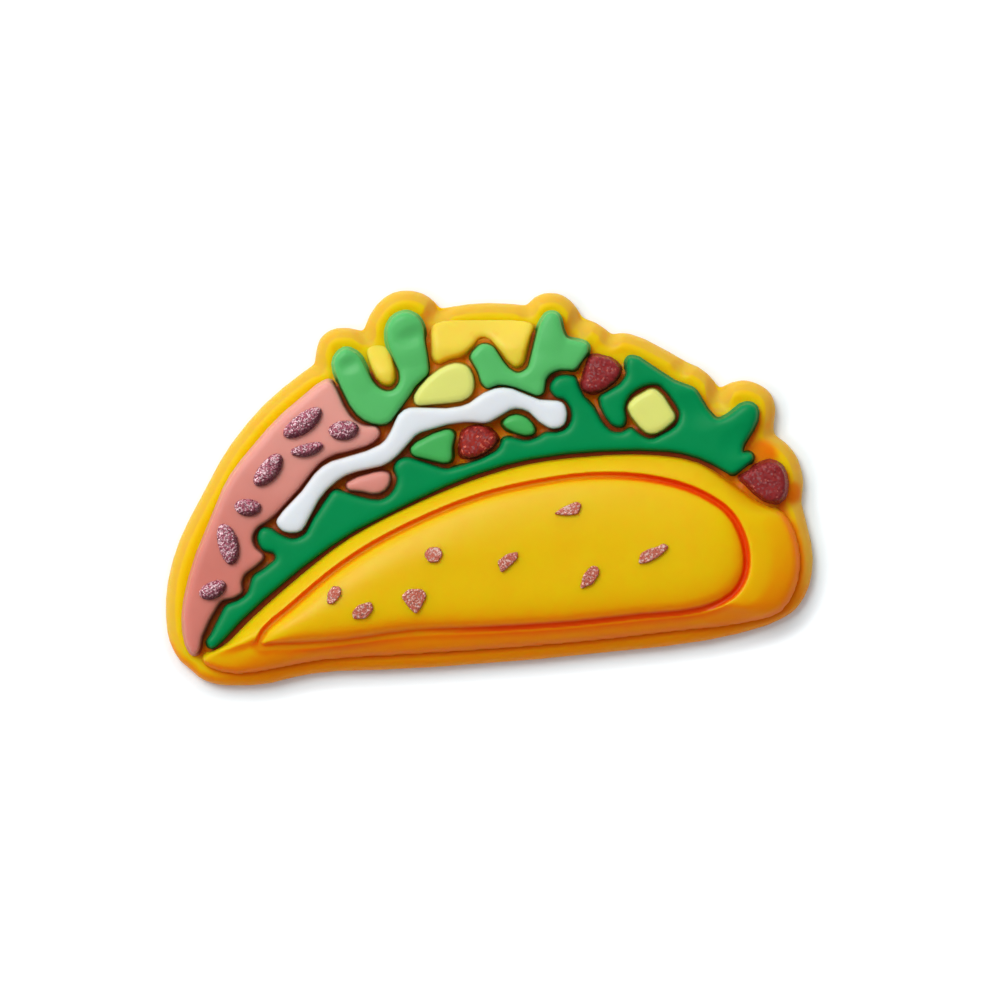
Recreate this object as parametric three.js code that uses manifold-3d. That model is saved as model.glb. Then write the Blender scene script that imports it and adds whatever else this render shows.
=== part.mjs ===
// A soft moulded charm in the shape of a filled taco, lying on its flat back.
//
// A scalloped backing plate carries a raised shell front, the filling, the lettuce and their
// chunks, each a low pillow with rounded shoulders and a narrow groove round it.
//
// Units are millimetres. The charm lies in the XY plane with its shown side towards +Z. Its back is
// at Z 0 and the origin is at the middle of the back. +X points to the round end of the shell and
// +Y to the tips of the lettuce.

import * as THREE from 'three';
import { mergeVertices } from 'three/addons/utils/BufferGeometryUtils.js';
import Module from 'manifold-3d';

const wasm = await Module();
wasm.setup();

// Heights above the back
const PLATE_TOP = 1.5;
const PLATE_WALL = 0.45;
const PLATE_BACK_EDGE = 0.2;
const PLATE_EDGE_ROUND = 0.85;
const FILLING_TOP = 2.7;
const LETTUCE_DARK_TOP = 2.6;
const LETTUCE_LIGHT_TOP = 2.8;
const CHEESE_TOP = 2.5;
const CREAM_TOP = 2.85;
const CHUNK_TOP = 2.8;
const TOMATO_TOP = 2.75;
const BEAN_HEIGHT = 0.32;

// Heights of the shell front
const SHELL_SHOULDER = 2.1;
const SHELL_LIP = 3.35;
const SHELL_GROOVE = 2.8;
const SHELL_PANEL_EDGE = 3.35;
const SHELL_PANEL_TOP = 3.9;
const GROOVE_WIDTH = 0.46;
const GROOVE_FLOOR_WIDTH = 0.2;
const FLAKE_HEIGHT = 0.16;
const FLAKE_ROOT = 0.4;
const FLAKE_SHOULDER = 0.06;

// Rings of the shell front: share of the way from one loop to the next, and of the rise there
const LIP_RINGS = [[0.08, 0.22], [0.28, 0.5], [0.52, 0.78]];
const PANEL_RINGS = [[0.3, 0.46], [0.62, 0.8], [1, 1]];

// Along the shell's lower edge, below a sloping line, the lip is lower and slopes evenly
const FRONT_DROP = 0.5;
const FRONT_CREST_SHARE = 0.8;
const FRONT_LINE_LEVEL = -8.35;
const FRONT_LINE_SLOPE = 0.0717;
const FRONT_LINE_ABOVE = 0.4;
const FRONT_LINE_BELOW = 0.1;

// Along its upper edge, beside the lettuce, the lip starts higher, up to the round end
const UPPER_RISE = 0.3;
const ROUND_END_FROM = 13.5;
const ROUND_END_TO = 16.5;

// Rounded shoulder of a low piece: how far it runs in, how far it drops, and the share of both
// that its middle ring has left
const SHOULDER_IN = 0.22;
const SHOULDER_DROP = 0.24;
const SHOULDER_MIDDLE = 0.3;
const BEAN_SHOULDER_IN = 0.16;
const BEAN_SHOULDER_DROP = 0.22;

// Turns at which the plate's rounded edge has a ring, in degrees
const PLATE_EDGE_TURNS = [20, 42, 66, 90];

// Farthest that a facet may stray from the curve that it follows
const CURVE_ERROR = 0.02;
const STEPS_PER_KNOT = 8;
const SHELL_STEPS_PER_KNOT = 3;
const FLAKE_STEPS_PER_KNOT = 3;
const BEAN_STEPS = 14;

// Share of the room at a narrow tip that its rounded shoulder takes up
const TIP_SHARE = 0.6;

// Depth below which a point counts as level, and distance within which corners are one
const LEVEL_DEPTH = 1e-6;
const SAME_CORNER = 1e-4;

// Edge of the backing plate, as smooth stretches that meet at the corners between its scallops
const PLATE_EDGE = [
  [
    [-17.75, -11.05], [-18.6, -10.3], [-19.2, -9.1], [-19.4, -7.3], [-19.25, -5.5], [-18.55, -3.1],
    [-17.35, -0.7], [-15.7, 2.3], [-13.7, 4.8], [-11.9, 6.4], [-10.45, 7.45],
  ],
  [[-10.45, 7.45], [-10.35, 8.2], [-10.1, 9.0], [-9.4, 9.55], [-8.5, 9.65], [-7.5, 9.45]],
  [
    [-7.5, 9.45], [-7.15, 10.35], [-6.55, 11.2], [-5.75, 11.75], [-4.85, 11.9], [-3.9, 11.7],
    [-3.25, 11.25], [-2.9, 10.8],
  ],
  [[-2.9, 10.8], [-1.4, 11.05], [0.25, 11.15], [2.3, 11.0]],
  [[2.3, 11.0], [2.9, 11.55], [3.6, 11.75], [4.4, 11.65], [5.1, 11.15], [5.7, 10.25]],
  [[5.7, 10.25], [6.6, 9.9], [7.45, 9.25]],
  [[7.45, 9.25], [8.15, 9.35], [9.25, 9.05], [10.45, 8.45], [11.9, 7.6]],
  [[11.9, 7.6], [12.65, 7.3], [13.4, 6.7], [13.9, 6.0]],
  [
    [13.9, 6.0], [14.6, 6.35], [15.4, 6.5], [16.3, 6.25], [17.0, 5.7], [17.3, 4.85], [17.2, 4.0],
    [17.2, 3.25],
  ],
  [[17.2, 3.25], [17.95, 2.7], [18.6, 1.85], [18.95, 0.7], [18.95, -0.1], [18.85, -0.85]],
  [
    [18.85, -0.85], [19.1, -1.9], [19.45, -3.25], [19.55, -4.6], [19.25, -6.1], [18.5, -7.3],
    [17.3, -8.05], [15.7, -8.6], [12.7, -9.25], [6.7, -9.95], [0.7, -10.5], [-5.3, -10.9],
    [-9.5, -11.05], [-11.3, -11.3], [-13.1, -11.75], [-14.9, -11.9], [-16.4, -11.8],
    [-17.3, -11.45], [-17.75, -11.05],
  ],
];

// The shell front is drawn by three loops with matching knots: its edge, the line of the groove
// round its panel, and the crest of the panel. They start at the pointed end and run clockwise.
const SHELL_EDGE = [
  [-17.1, -10.2], [-16.55, -9.85], [-15.7, -9.4], [-14.3, -8.0], [-11.3, -5.35], [-8.3, -3.05],
  [-4.7, -1.15], [-1.1, 0.35], [2.5, 1.4], [6.1, 1.85], [9.7, 1.95], [12.7, 1.45], [15.1, -0.1],
  [16.35, -0.95], [17.7, -1.6], [18.5, -3.4], [18.5, -5.5], [17.5, -7.3], [15.1, -8.0], [10.9, -8.5],
  [6.1, -9.05], [0.7, -9.5], [-4.7, -9.85], [-10.1, -10.2], [-13.55, -10.85], [-15.35, -11.0],
  [-16.75, -10.6],
];
const PANEL_GROOVE = [
  [-13.7, -9.3], [-13.45, -8.65], [-12.95, -8.1], [-11.9, -7.25], [-9.5, -5.2], [-7.1, -3.55],
  [-3.8, -1.85], [-0.5, -0.55], [2.8, 0.25], [6.1, 0.7], [9.4, 0.6], [12.1, -0.05],
  [13.9, -1.0], [14.5, -1.55], [14.95, -2.2], [15.45, -3.6], [15.4, -5.2], [14.6, -6.45], [12.7, -7.3],
  [9.1, -7.7], [4.9, -8.15], [0.1, -8.45], [-4.7, -8.65], [-8.6, -9.2], [-11.6, -9.4],
  [-12.95, -9.45], [-13.55, -9.5],
];
const PANEL_CREST = [
  [-11.2, -8.25], [-11.0, -7.9], [-10.4, -7.55], [-9.0, -6.7], [-6.6, -5.5], [-3.7, -4.4],
  [-0.35, -3.6], [2.5, -3.2], [5.4, -2.9], [7.9, -2.8], [10.0, -3.0], [11.5, -3.3],
  [12.3, -3.65], [12.5, -3.8], [12.65, -4.0], [12.8, -4.3], [12.65, -4.7], [12.2, -5.0], [11.05, -5.3],
  [8.8, -5.65], [5.4, -6.1], [1.3, -6.6], [-2.9, -6.95], [-6.8, -7.6], [-9.5, -8.05],
  [-10.8, -8.25], [-11.15, -8.35],
];

// Toasted flakes on the shell's panel
const FLAKES = [
  [[3.9, -1.55], [4.6, -1.1], [5.35, -0.8], [5.6, -1.0], [5.4, -1.55], [4.7, -1.65]],
  [[-3.85, -3.95], [-3.5, -3.55], [-2.9, -3.55], [-2.7, -3.95], [-3.0, -4.45], [-3.55, -4.45]],
  [[0.55, -4.4], [1.15, -3.95], [1.8, -3.8], [1.75, -4.25], [1.2, -4.75], [0.8, -5.1]],
  [[5.5, -6.05], [5.7, -5.2], [6.2, -4.65], [6.6, -4.7], [6.65, -5.15], [6.25, -5.75]],
  [
    [9.0, -4.55], [9.1, -3.95], [9.6, -3.65], [10.1, -3.55], [10.5, -3.3], [10.85, -3.5],
    [10.3, -4.05], [9.6, -4.45],
  ],
  [[-9.65, -6.9], [-9.6, -6.3], [-9.25, -5.85], [-8.8, -5.95], [-8.8, -6.4], [-9.25, -6.95]],
  [[-8.15, -7.45], [-7.75, -7.0], [-7.0, -6.8], [-6.85, -7.25], [-7.3, -7.8], [-8.05, -7.85]],
  [
    [-5.2, -6.5], [-4.75, -6.05], [-3.95, -6.05], [-3.65, -6.4], [-4.0, -7.1], [-4.3, -7.55],
    [-4.7, -7.2],
  ],
];

const FILLING = [
  [-17.65, -9.9], [-18.0, -9.35], [-18.2, -7.9], [-18.05, -6.55], [-17.45, -4.3],
  [-16.5, -1.95], [-15.45, 0.45], [-14.15, 2.2], [-12.4, 4.15], [-10.6, 5.7], [-9.95, 6.2],
  [-9.5, 6.35], [-9.2, 6.0], [-8.75, 5.0], [-8.15, 4.1], [-7.5, 3.7], [-6.7, 3.6],
  [-6.55, 3.25], [-7.1, 2.7], [-8.1, 2.35], [-9.3, 2.05], [-10.2, 1.5],
  [-11.15, 0.3], [-12.2, -0.9], [-13.1, -1.8],
  [-13.9, -2.35], [-14.2, -3.0], [-14.0, -3.65], [-13.5, -4.1], [-13.8, -4.5], [-14.65, -5.15],
  [-14.85, -5.65], [-14.8, -6.2], [-15.3, -6.55], [-16.0, -6.7], [-16.58, -7.55], [-17.2, -8.85],
  [-17.42, -9.75],
];
const FILLING_CHUNK = [
  [-8.45, 0.2], [-8.35, -0.05], [-7.55, -0.15], [-6.85, -0.3], [-6.3, -0.15], [-5.95, 0.3],
  [-5.95, 0.8], [-6.35, 0.95], [-7.1, 0.8], [-7.9, 0.55],
];

const LETTUCE_DARK = [
  // Along the shell, from the pointed end
  [-16.8, -9.25], [-16.6, -9.55], [-16.25, -9.35], [-14.9, -7.9], [-13.1, -6.25], [-10.7, -4.3],
  [-8.3, -2.65], [-5.9, -1.4], [-2.9, 0.05], [-0.5, 1.0], [1.9, 1.7], [4.3, 2.1], [6.7, 2.3],
  [9.7, 2.35], [11.5, 2.2], [13.0, 1.75], [13.9, 1.3], [14.65, 0.9],
  // The free tips over the round end
  [15.35, 1.3], [15.85, 1.8], [15.7, 2.05], [15.25, 2.05], [15.2, 2.5], [15.7, 3.35],
  [16.08, 4.2], [16.02, 4.8], [15.65, 5.02], [15.2, 4.9], [14.45, 4.3], [13.75, 4.05],
  [13.15, 4.55], [12.7, 5.3], [12.3, 5.85], [11.65, 6.1], [11.05, 6.35], [9.7, 7.25],
  [8.9, 7.75], [8.45, 7.75], [8.35, 7.3], [8.4, 6.85], [8.0, 6.2], [7.3, 5.75], [6.8, 5.45],
  // Round the square chunk, in by its left side and out by the slit under it
  [6.85, 4.9], [7.2, 4.2], [7.6, 3.8], [8.0, 3.75], [8.2, 4.1], [8.1, 4.8], [8.35, 5.5],
  [8.9, 6.0], [9.7, 6.3], [10.3, 6.25], [10.8, 5.8], [11.35, 5.05], [11.6, 4.45], [11.35, 3.7],
  [10.6, 3.2], [9.8, 2.85], [9.1, 3.1], [8.6, 3.5], [8.05, 3.25], [7.4, 3.3], [6.85, 3.8],
  [6.3, 4.75], [5.7, 5.4],
  // Round the end of the cream and back under the chunks
  [5.4, 6.0], [5.2, 6.55], [4.7, 6.7], [4.1, 6.55], [3.8, 6.0], [4.1, 5.55], [4.6, 5.4],
  [5.05, 4.8], [5.1, 4.1], [4.75, 3.5], [4.15, 3.25], [3.5, 3.25], [3.1, 3.0], [2.3, 2.75],
  [1.4, 2.95], [1.0, 2.9], [0.7, 2.3], [-0.1, 1.8], [-0.95, 1.45], [-1.8, 1.2], [-2.5, 1.05],
  [-3.6, 1.35], [-4.85, 1.75], [-5.35, 1.6], [-5.55, 1.2], [-5.35, 0.5], [-5.7, -0.35],
  [-6.4, -0.8], [-7.45, -0.7], [-8.6, -0.35], [-9.2, -0.2],
  // Along the cream and the filling to the pointed end
  [-9.7, -0.85], [-10.4, -1.85], [-10.9, -2.8], [-11.65, -3.15], [-12.4, -2.95],
  [-13.1, -2.5], [-13.55, -2.5], [-13.75, -3.05], [-13.45, -3.65], [-12.8, -3.85],
  [-12.65, -4.25], [-13.2, -4.8], [-14.0, -5.35], [-14.15, -5.7], [-14.35, -6.35],
  [-14.9, -6.8], [-15.65, -7.1], [-16.0, -7.75], [-16.5, -8.75],
];
const LETTUCE_LIGHT_LEFT = [
  [-8.6, 8.3], [-9.1, 7.85], [-9.2, 7.3], [-8.75, 6.0], [-8.05, 4.7], [-7.4, 4.1], [-6.5, 3.85],
  [-5.95, 4.0], [-5.4, 4.7], [-4.9, 5.35], [-4.4, 6.15], [-3.65, 6.9], [-3.65, 7.6],
  [-3.85, 8.7], [-3.95, 9.7], [-4.3, 10.25], [-4.9, 10.5], [-5.6, 10.25], [-6.0, 9.6],
  [-6.0, 8.75], [-5.65, 7.85], [-5.25, 6.9], [-5.3, 6.25], [-5.7, 5.8], [-6.3, 5.8],
  [-6.85, 6.2], [-7.3, 7.0], [-7.75, 7.9], [-8.15, 8.2],
];
const LETTUCE_LIGHT_RIGHT = [
  [-0.3, 8.6], [-0.7, 8.35], [-1.0, 7.85], [-0.6, 7.1], [-0.35, 6.35], [-0.05, 6.05],
  [0.6, 6.25], [1.45, 6.15], [2.35, 5.8], [3.05, 5.6], [3.3, 5.8], [3.4, 6.5], [3.7, 6.9],
  [4.3, 7.15], [5.2, 7.15], [5.5, 7.55], [5.95, 8.2], [5.9, 8.6], [5.35, 8.8], [4.7, 8.95],
  [4.45, 9.35], [4.3, 10.0], [4.1, 10.4], [3.65, 10.45], [3.2, 9.9], [2.9, 9.0], [2.65, 7.9],
  [2.4, 7.15], [1.8, 6.85], [1.2, 7.15], [0.7, 7.8], [0.25, 8.45],
];

const CHEESE_WIDE = [
  [-3.3, 8.6], [-3.25, 7.8], [-3.0, 7.55], [-2.5, 7.75], [-1.85, 7.9], [-1.4, 8.1], [-1.0, 8.5],
  [-0.65, 9.05], [-0.25, 9.2], [0.2, 9.0], [0.7, 8.35], [1.2, 7.65], [1.7, 7.3], [2.05, 7.5],
  [2.25, 8.3], [2.45, 9.1], [2.6, 9.65], [2.15, 9.8], [-0.5, 9.85], [-2.9, 9.75],
  [-3.25, 9.5],
];
const CHEESE_TONGUE = [
  [-7.0, 7.75], [-6.82, 7.0], [-6.47, 6.42], [-6.05, 6.2], [-5.7, 6.35], [-5.62, 6.9],
  [-5.78, 7.5], [-6.1, 8.15], [-6.6, 8.35], [-7.05, 8.2],
];

const CREAM = [
  [-12.65, -2.05], [-12.35, -2.5], [-11.75, -2.65], [-11.2, -2.5], [-10.85, -1.9],
  [-10.1, -0.55], [-9.3, 0.3], [-8.45, 0.85], [-7.4, 1.15], [-6.3, 1.4], [-5.6, 1.85],
  [-4.9, 2.6], [-4.3, 3.25], [-3.5, 3.55], [-2.3, 3.88], [-1.2, 4.0], [-0.1, 3.95],
  [0.7, 4.35], [1.55, 4.8], [2.4, 4.65], [3.1, 4.0], [3.9, 3.6], [4.5, 3.8], [4.7, 4.45],
  [4.5, 5.05], [4.1, 5.2], [3.1, 5.25], [2.2, 5.6], [1.3, 5.95], [0.5, 5.95], [-0.35, 5.6],
  [-1.2, 5.0], [-2.3, 4.75], [-3.8, 4.75], [-4.8, 4.75], [-5.35, 4.35], [-5.7, 3.55],
  [-6.2, 2.75], [-6.95, 2.3], [-8.3, 1.85], [-9.5, 1.5], [-10.25, 0.95], [-11.15, -0.25],
  [-12.25, -1.4],
];

const YELLOW_CHUNKS = [
  [
    [-4.4, 5.45], [-4.3, 5.05], [-3.5, 5.05], [-2.3, 5.15], [-1.4, 5.35], [-0.95, 5.8],
    [-0.9, 6.6], [-1.25, 7.25], [-1.9, 7.45], [-2.6, 7.25], [-3.5, 6.65], [-4.1, 6.0],
  ],
  [
    [8.42, 4.85], [8.62, 5.22], [9.23, 5.65], [9.9, 5.92], [10.38, 5.62], [10.85, 4.9],
    [11.2, 4.25], [10.85, 3.8], [10.1, 3.33], [9.57, 3.33], [8.98, 3.85], [8.56, 4.45],
  ],
];
const GREEN_CHUNKS = [
  [
    [-4.6, 2.3], [-4.45, 2.0], [-3.5, 1.75], [-2.6, 1.55], [-2.25, 1.7], [-2.2, 2.45],
    [-2.05, 3.2], [-2.3, 3.45], [-2.9, 3.35], [-3.8, 2.95], [-4.4, 2.6],
  ],
  [
    [0.95, 3.9], [1.2, 4.2], [1.75, 4.35], [2.3, 4.15], [2.7, 3.7], [2.75, 3.35], [2.3, 3.2],
    [1.55, 3.4], [1.1, 3.65],
  ],
];
const TOMATOES = [
  [
    [-1.6, 3.0], [-1.65, 2.35], [-1.55, 2.0], [-1.1, 1.85], [-0.5, 2.0], [0.2, 2.45],
    [0.5, 2.9], [0.2, 3.35], [-0.3, 3.65], [-0.95, 3.65], [-1.4, 3.4],
  ],
  [
    [6.05, 7.65], [5.85, 6.95], [5.65, 6.2], [5.85, 5.85], [6.5, 5.8], [7.15, 6.1], [7.8, 6.7],
    [7.9, 7.1], [7.45, 7.6], [6.8, 7.82], [6.3, 7.87],
  ],
  [
    [15.2, 0.65], [15.5, 0.25], [16.0, -0.25], [16.7, -0.75], [17.3, -0.8], [17.7, -0.5],
    [17.85, 0.2], [17.75, 0.85], [17.5, 1.3], [16.9, 1.55], [16.3, 1.35], [15.65, 0.95],
  ],
];

// Beans on the filling: middle, length, width, turn from +X in degrees, and sideways bend
const BEANS = [
  { x: -11.1, y: 3.9, length: 2.8, width: 1.2, turn: 36, bend: 0.08 },
  { x: -8.65, y: 3.47, length: 1.85, width: 1.2, turn: 5, bend: 0.05 },
  { x: -10.85, y: 2.32, length: 2.05, width: 0.8, turn: 14, bend: 0.1 },
  { x: -13.17, y: 1.07, length: 2.4, width: 1.2, turn: 50, bend: 0.08 },
  { x: -14.4, y: -1.15, length: 1.65, width: 1.05, turn: -4, bend: 0.05 },
  { x: -15.6, y: -3.35, length: 2.55, width: 1.25, turn: 104, bend: 0.08 },
  { x: -16.5, y: -6.1, length: 1.75, width: 1.05, turn: 25, bend: 0.06 },
];

const YELLOW = { color: 0xefb917, roughness: 0.45 };
const PINK = { color: 0xd07f70, roughness: 0.5 };
const DARK_GREEN = { color: 0x08965a, roughness: 0.45 };
const LIGHT_GREEN = { color: 0x4fb562, roughness: 0.45 };
const PALE_YELLOW = { color: 0xdcdf78, roughness: 0.45 };
const WHITE = { color: 0xe4e8ee, roughness: 0.4 };
const TOMATO_RED = { color: 0x98302f, roughness: 0.35 };
const BEAN_PURPLE = { color: 0x7c2b3f, roughness: 0.35 };

// A closed smooth loop through its knots, with steps points between one knot and the next
function loop(knots, steps = STEPS_PER_KNOT) {
  const points = knots.map(([x, y]) => new THREE.Vector3(x, y, 0));
  const curve = new THREE.CatmullRomCurve3(points, true, 'centripetal');
  return curve.getPoints(knots.length * steps).slice(0, -1);
}

// A closed loop of smooth stretches that meet at corners
function chain(stretches) {
  return stretches.flatMap((knots) => {
    const points = knots.map(([x, y]) => new THREE.Vector3(x, y, 0));
    const curve = new THREE.CatmullRomCurve3(points, false, 'centripetal');
    return curve.getPoints((knots.length - 1) * STEPS_PER_KNOT).slice(0, -1);
  });
}

// Distance from a point to the straight line between two others
function strayFrom(point, start, end) {
  const chord = new THREE.Line3(start, end);
  return chord.closestPointToPoint(point, true, new THREE.Vector3()).distanceTo(point);
}

// The loop with only the points that it needs to stay within CURVE_ERROR of itself
function thinned(points) {
  const kept = [points[0]];
  let start = 0;
  for (let end = 2; end <= points.length; end += 1) {
    const target = points[end % points.length];
    const passed = points.slice(start + 1, end);
    if (passed.some((point) => strayFrom(point, points[start], target) > CURVE_ERROR)) {
      start = end - 1;
      kept.push(points[start]);
    }
  }
  return kept;
}

// The loop turned so that it runs counterclockwise seen from +Z
function facingUp(points) {
  return THREE.ShapeUtils.isClockWise(points) ? [...points].reverse() : points;
}

// Radius of the largest circle that touches the loop at a point, on the side of a direction,
// with the rest of the loop outside it
function roomBeside(points, point, direction) {
  const radii = points.map((other) => {
    const offset = other.clone().sub(point);
    const depth = offset.dot(direction);
    return depth > LEVEL_DEPTH ? offset.lengthSq() / (2 * depth) : Infinity;
  });
  return Math.min(...radii);
}

// The loop moved inwards (or outwards, below 0) by a distance and set at a height. Corners stay
// sharp, and narrow tips move only as far as they have room.
function ring(points, inset, height) {
  return points.map((point, i) => {
    const before = points.at(i - 1);
    const after = points[(i + 1) % points.length];
    const along = point.clone().sub(before).normalize();
    const onward = after.clone().sub(point).normalize();
    const inward = new THREE.Vector3(-along.y - onward.y, along.x + onward.x, 0).normalize();
    const mitre = inward.dot(new THREE.Vector3(-along.y, along.x, 0));
    const direction = inward.multiplyScalar(Math.sign(inset));
    const room = TIP_SHARE * roomBeside(points, point, direction);
    const distance = Math.min(Math.abs(inset) / mitre, room);
    return point.clone().addScaledVector(direction, distance).setZ(height);
  });
}

// Rings between two loops with matching points: share 0 is the first loop and 1 the second
function between(first, second, share, height) {
  return first.map((point, i) => point.clone().lerp(second[i], share).setZ(height));
}

// A closed solid through rings with matching points, from the lowest inside to the last
function loft(rings) {
  const count = rings[0].length;
  const positions = rings.flat().flatMap((point) => [point.x, point.y, point.z]);
  const indices = [];
  rings.slice(1).forEach((_, level) => {
    for (let i = 0; i < count; i += 1) {
      const a = level * count + i;
      const b = level * count + ((i + 1) % count);
      indices.push(a, b, b + count, a, b + count, a + count);
    }
  });
  const top = (rings.length - 1) * count;
  THREE.ShapeUtils.triangulateShape(rings[0], []).forEach(([a, b, c]) => indices.push(a, c, b));
  THREE.ShapeUtils.triangulateShape(rings.at(-1), []).forEach(([a, b, c]) => {
    indices.push(top + a, top + b, top + c);
  });
  const geometry = new THREE.BufferGeometry();
  geometry.setAttribute('position', new THREE.Float32BufferAttribute(positions, 3));
  geometry.setIndex(indices);
  geometry.computeVertexNormals();
  return geometry;
}

// A low piece with upright sides, a rounded shoulder and a flat top
function pillow(outline, bottom, top, shoulderIn = SHOULDER_IN, shoulderDrop = SHOULDER_DROP) {
  return loft([
    ring(outline, 0, bottom),
    ring(outline, 0, top - shoulderDrop),
    ring(outline, shoulderIn * SHOULDER_MIDDLE, top - shoulderDrop * SHOULDER_MIDDLE),
    ring(outline, shoulderIn, top),
  ]);
}

// The backing plate: flat back, upright wall, and a long rounded edge up to its flat top
function platePart() {
  const edge = facingUp(thinned(chain(PLATE_EDGE)));
  const rise = PLATE_TOP - PLATE_WALL;
  const round = PLATE_EDGE_TURNS.map((degrees) => {
    const angle = THREE.MathUtils.degToRad(degrees);
    const inset = PLATE_EDGE_ROUND * (1 - Math.cos(angle));
    return ring(edge, inset, PLATE_WALL + rise * Math.sin(angle));
  });
  return loft([
    ring(edge, PLATE_BACK_EDGE, 0),
    ring(edge, 0, PLATE_BACK_EDGE),
    ring(edge, 0, PLATE_WALL),
    ...round,
  ]);
}

function solidOf(geometry) {
  const bare = geometry.clone();
  bare.deleteAttribute('normal');
  const merged = mergeVertices(bare, SAME_CORNER);
  return new wasm.Manifold(new wasm.Mesh({
    numProp: 3,
    vertProperties: new Float32Array(merged.attributes.position.array),
    triVerts: new Uint32Array(merged.index.array),
  }));
}

function geometryOf(solid) {
  const mesh = solid.getMesh();
  const geometry = new THREE.BufferGeometry();
  geometry.setAttribute('position', new THREE.BufferAttribute(mesh.vertProperties, 3));
  geometry.setIndex(new THREE.BufferAttribute(mesh.triVerts, 1));
  geometry.computeVertexNormals();
  return geometry;
}

// Share of the lowered front at a point of the shell, 1 along its lower edge
function frontShare({ x, y }) {
  const below = FRONT_LINE_LEVEL + FRONT_LINE_SLOPE * x - y;
  return THREE.MathUtils.smoothstep(below, -FRONT_LINE_ABOVE, FRONT_LINE_BELOW);
}

// Height at which the lip starts at a point of the shell's edge
function shoulderHeight(point) {
  const before = 1 - THREE.MathUtils.smoothstep(point.x, ROUND_END_FROM, ROUND_END_TO);
  return SHELL_SHOULDER + UPPER_RISE * before * (1 - frontShare(point));
}

// The shell front: a rounded lip, a narrow groove and a domed panel inside it
function shellBody() {
  const edge = loop(SHELL_EDGE, SHELL_STEPS_PER_KNOT).reverse();
  const groove = loop(PANEL_GROOVE, SHELL_STEPS_PER_KNOT).reverse();
  const crest = loop(PANEL_CREST, SHELL_STEPS_PER_KNOT).reverse();
  const shoulder = edge.map((point) => point.clone().setZ(shoulderHeight(point)));
  const lip = ring(groove, -GROOVE_WIDTH / 2, SHELL_LIP).map((point) => {
    return point.setZ(SHELL_LIP - FRONT_DROP * frontShare(point));
  });
  const slope = (share, rise) => between(edge, groove, share, 0).map((point, i) => {
    const even = share / FRONT_CREST_SHARE;
    const climb = THREE.MathUtils.lerp(rise, even, frontShare(lip[i]));
    return point.setZ(THREE.MathUtils.lerp(shoulder[i].z, lip[i].z, climb));
  });
  return loft([
    ring(edge, 0, PLATE_TOP),
    shoulder,
    ...LIP_RINGS.map(([share, rise]) => slope(share, rise)),
    lip,
    ring(groove, -GROOVE_FLOOR_WIDTH / 2, SHELL_GROOVE),
    ring(groove, GROOVE_FLOOR_WIDTH / 2, SHELL_GROOVE),
    ring(groove, GROOVE_WIDTH / 2, SHELL_PANEL_EDGE),
    ...PANEL_RINGS.map(([share, rise]) => {
      const height = THREE.MathUtils.lerp(SHELL_PANEL_EDGE, SHELL_PANEL_TOP, rise);
      return between(groove, crest, share, height);
    }),
  ]);
}

// A flake stands a little proud of the panel and is rooted in it
function flakePart(knots, body) {
  const outline = facingUp(thinned(loop(knots, FLAKE_STEPS_PER_KNOT)));
  const middle = outline.reduce((sum, point) => sum.add(point), new THREE.Vector3());
  middle.divideScalar(outline.length).setZ(SHELL_PANEL_TOP + 1);
  const down = new THREE.Raycaster(middle, new THREE.Vector3(0, 0, -1));
  const surface = down.intersectObject(body)[0].point.z;
  return pillow(outline, surface - FLAKE_ROOT, surface + FLAKE_HEIGHT, FLAKE_SHOULDER,
    FLAKE_SHOULDER);
}

function shellPart() {
  const body = new THREE.Mesh(shellBody());
  const solids = FLAKES.map((knots) => solidOf(flakePart(knots, body)));
  return geometryOf(solids.reduce((whole, flake) => whole.add(flake), solidOf(body.geometry)));
}

// A bean outline: an oval with a slight sideways bend
function beanOutline({ x, y, length, width, turn, bend }) {
  const angle = THREE.MathUtils.degToRad(turn);
  return Array.from({ length: BEAN_STEPS }, (_, i) => {
    const t = (2 * Math.PI * i) / BEAN_STEPS;
    const along = (Math.cos(t) * length) / 2;
    const across = (Math.sin(t) * width) / 2 + bend * (Math.cos(t) ** 2 - 0.5);
    return new THREE.Vector3(along, across, 0)
      .applyAxisAngle(new THREE.Vector3(0, 0, 1), angle)
      .add(new THREE.Vector3(x, y, 0));
  });
}

function named(name, geometry, { color, roughness }) {
  const material = new THREE.MeshStandardMaterial({ color, roughness, metalness: 0 });
  const mesh = new THREE.Mesh(geometry, material);
  mesh.name = name;
  return mesh;
}

// A coloured piece that rests on the plate
function inlay(name, knots, top, finish) {
  return named(name, pillow(facingUp(thinned(loop(knots))), PLATE_TOP, top), finish);
}

function bean(values, i) {
  const outline = facingUp(beanOutline(values));
  const top = FILLING_TOP + BEAN_HEIGHT;
  const geometry = pillow(outline, FILLING_TOP, top, BEAN_SHOULDER_IN, BEAN_SHOULDER_DROP);
  return named(`bean_${i + 1}`, geometry, BEAN_PURPLE);
}

const charm = new THREE.Group();
charm.add(named('backing_plate', platePart(), YELLOW));
charm.add(named('shell_front', shellPart(), YELLOW));
charm.add(inlay('filling', FILLING, FILLING_TOP, PINK));
charm.add(inlay('filling_chunk', FILLING_CHUNK, FILLING_TOP, PINK));
charm.add(...BEANS.map(bean));
charm.add(inlay('lettuce_dark', LETTUCE_DARK, LETTUCE_DARK_TOP, DARK_GREEN));
charm.add(inlay('lettuce_light_left', LETTUCE_LIGHT_LEFT, LETTUCE_LIGHT_TOP, LIGHT_GREEN));
charm.add(inlay('lettuce_light_right', LETTUCE_LIGHT_RIGHT, LETTUCE_LIGHT_TOP, LIGHT_GREEN));
charm.add(inlay('cheese_wide', CHEESE_WIDE, CHEESE_TOP, YELLOW));
charm.add(inlay('cheese_tongue', CHEESE_TONGUE, CHEESE_TOP, YELLOW));
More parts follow.
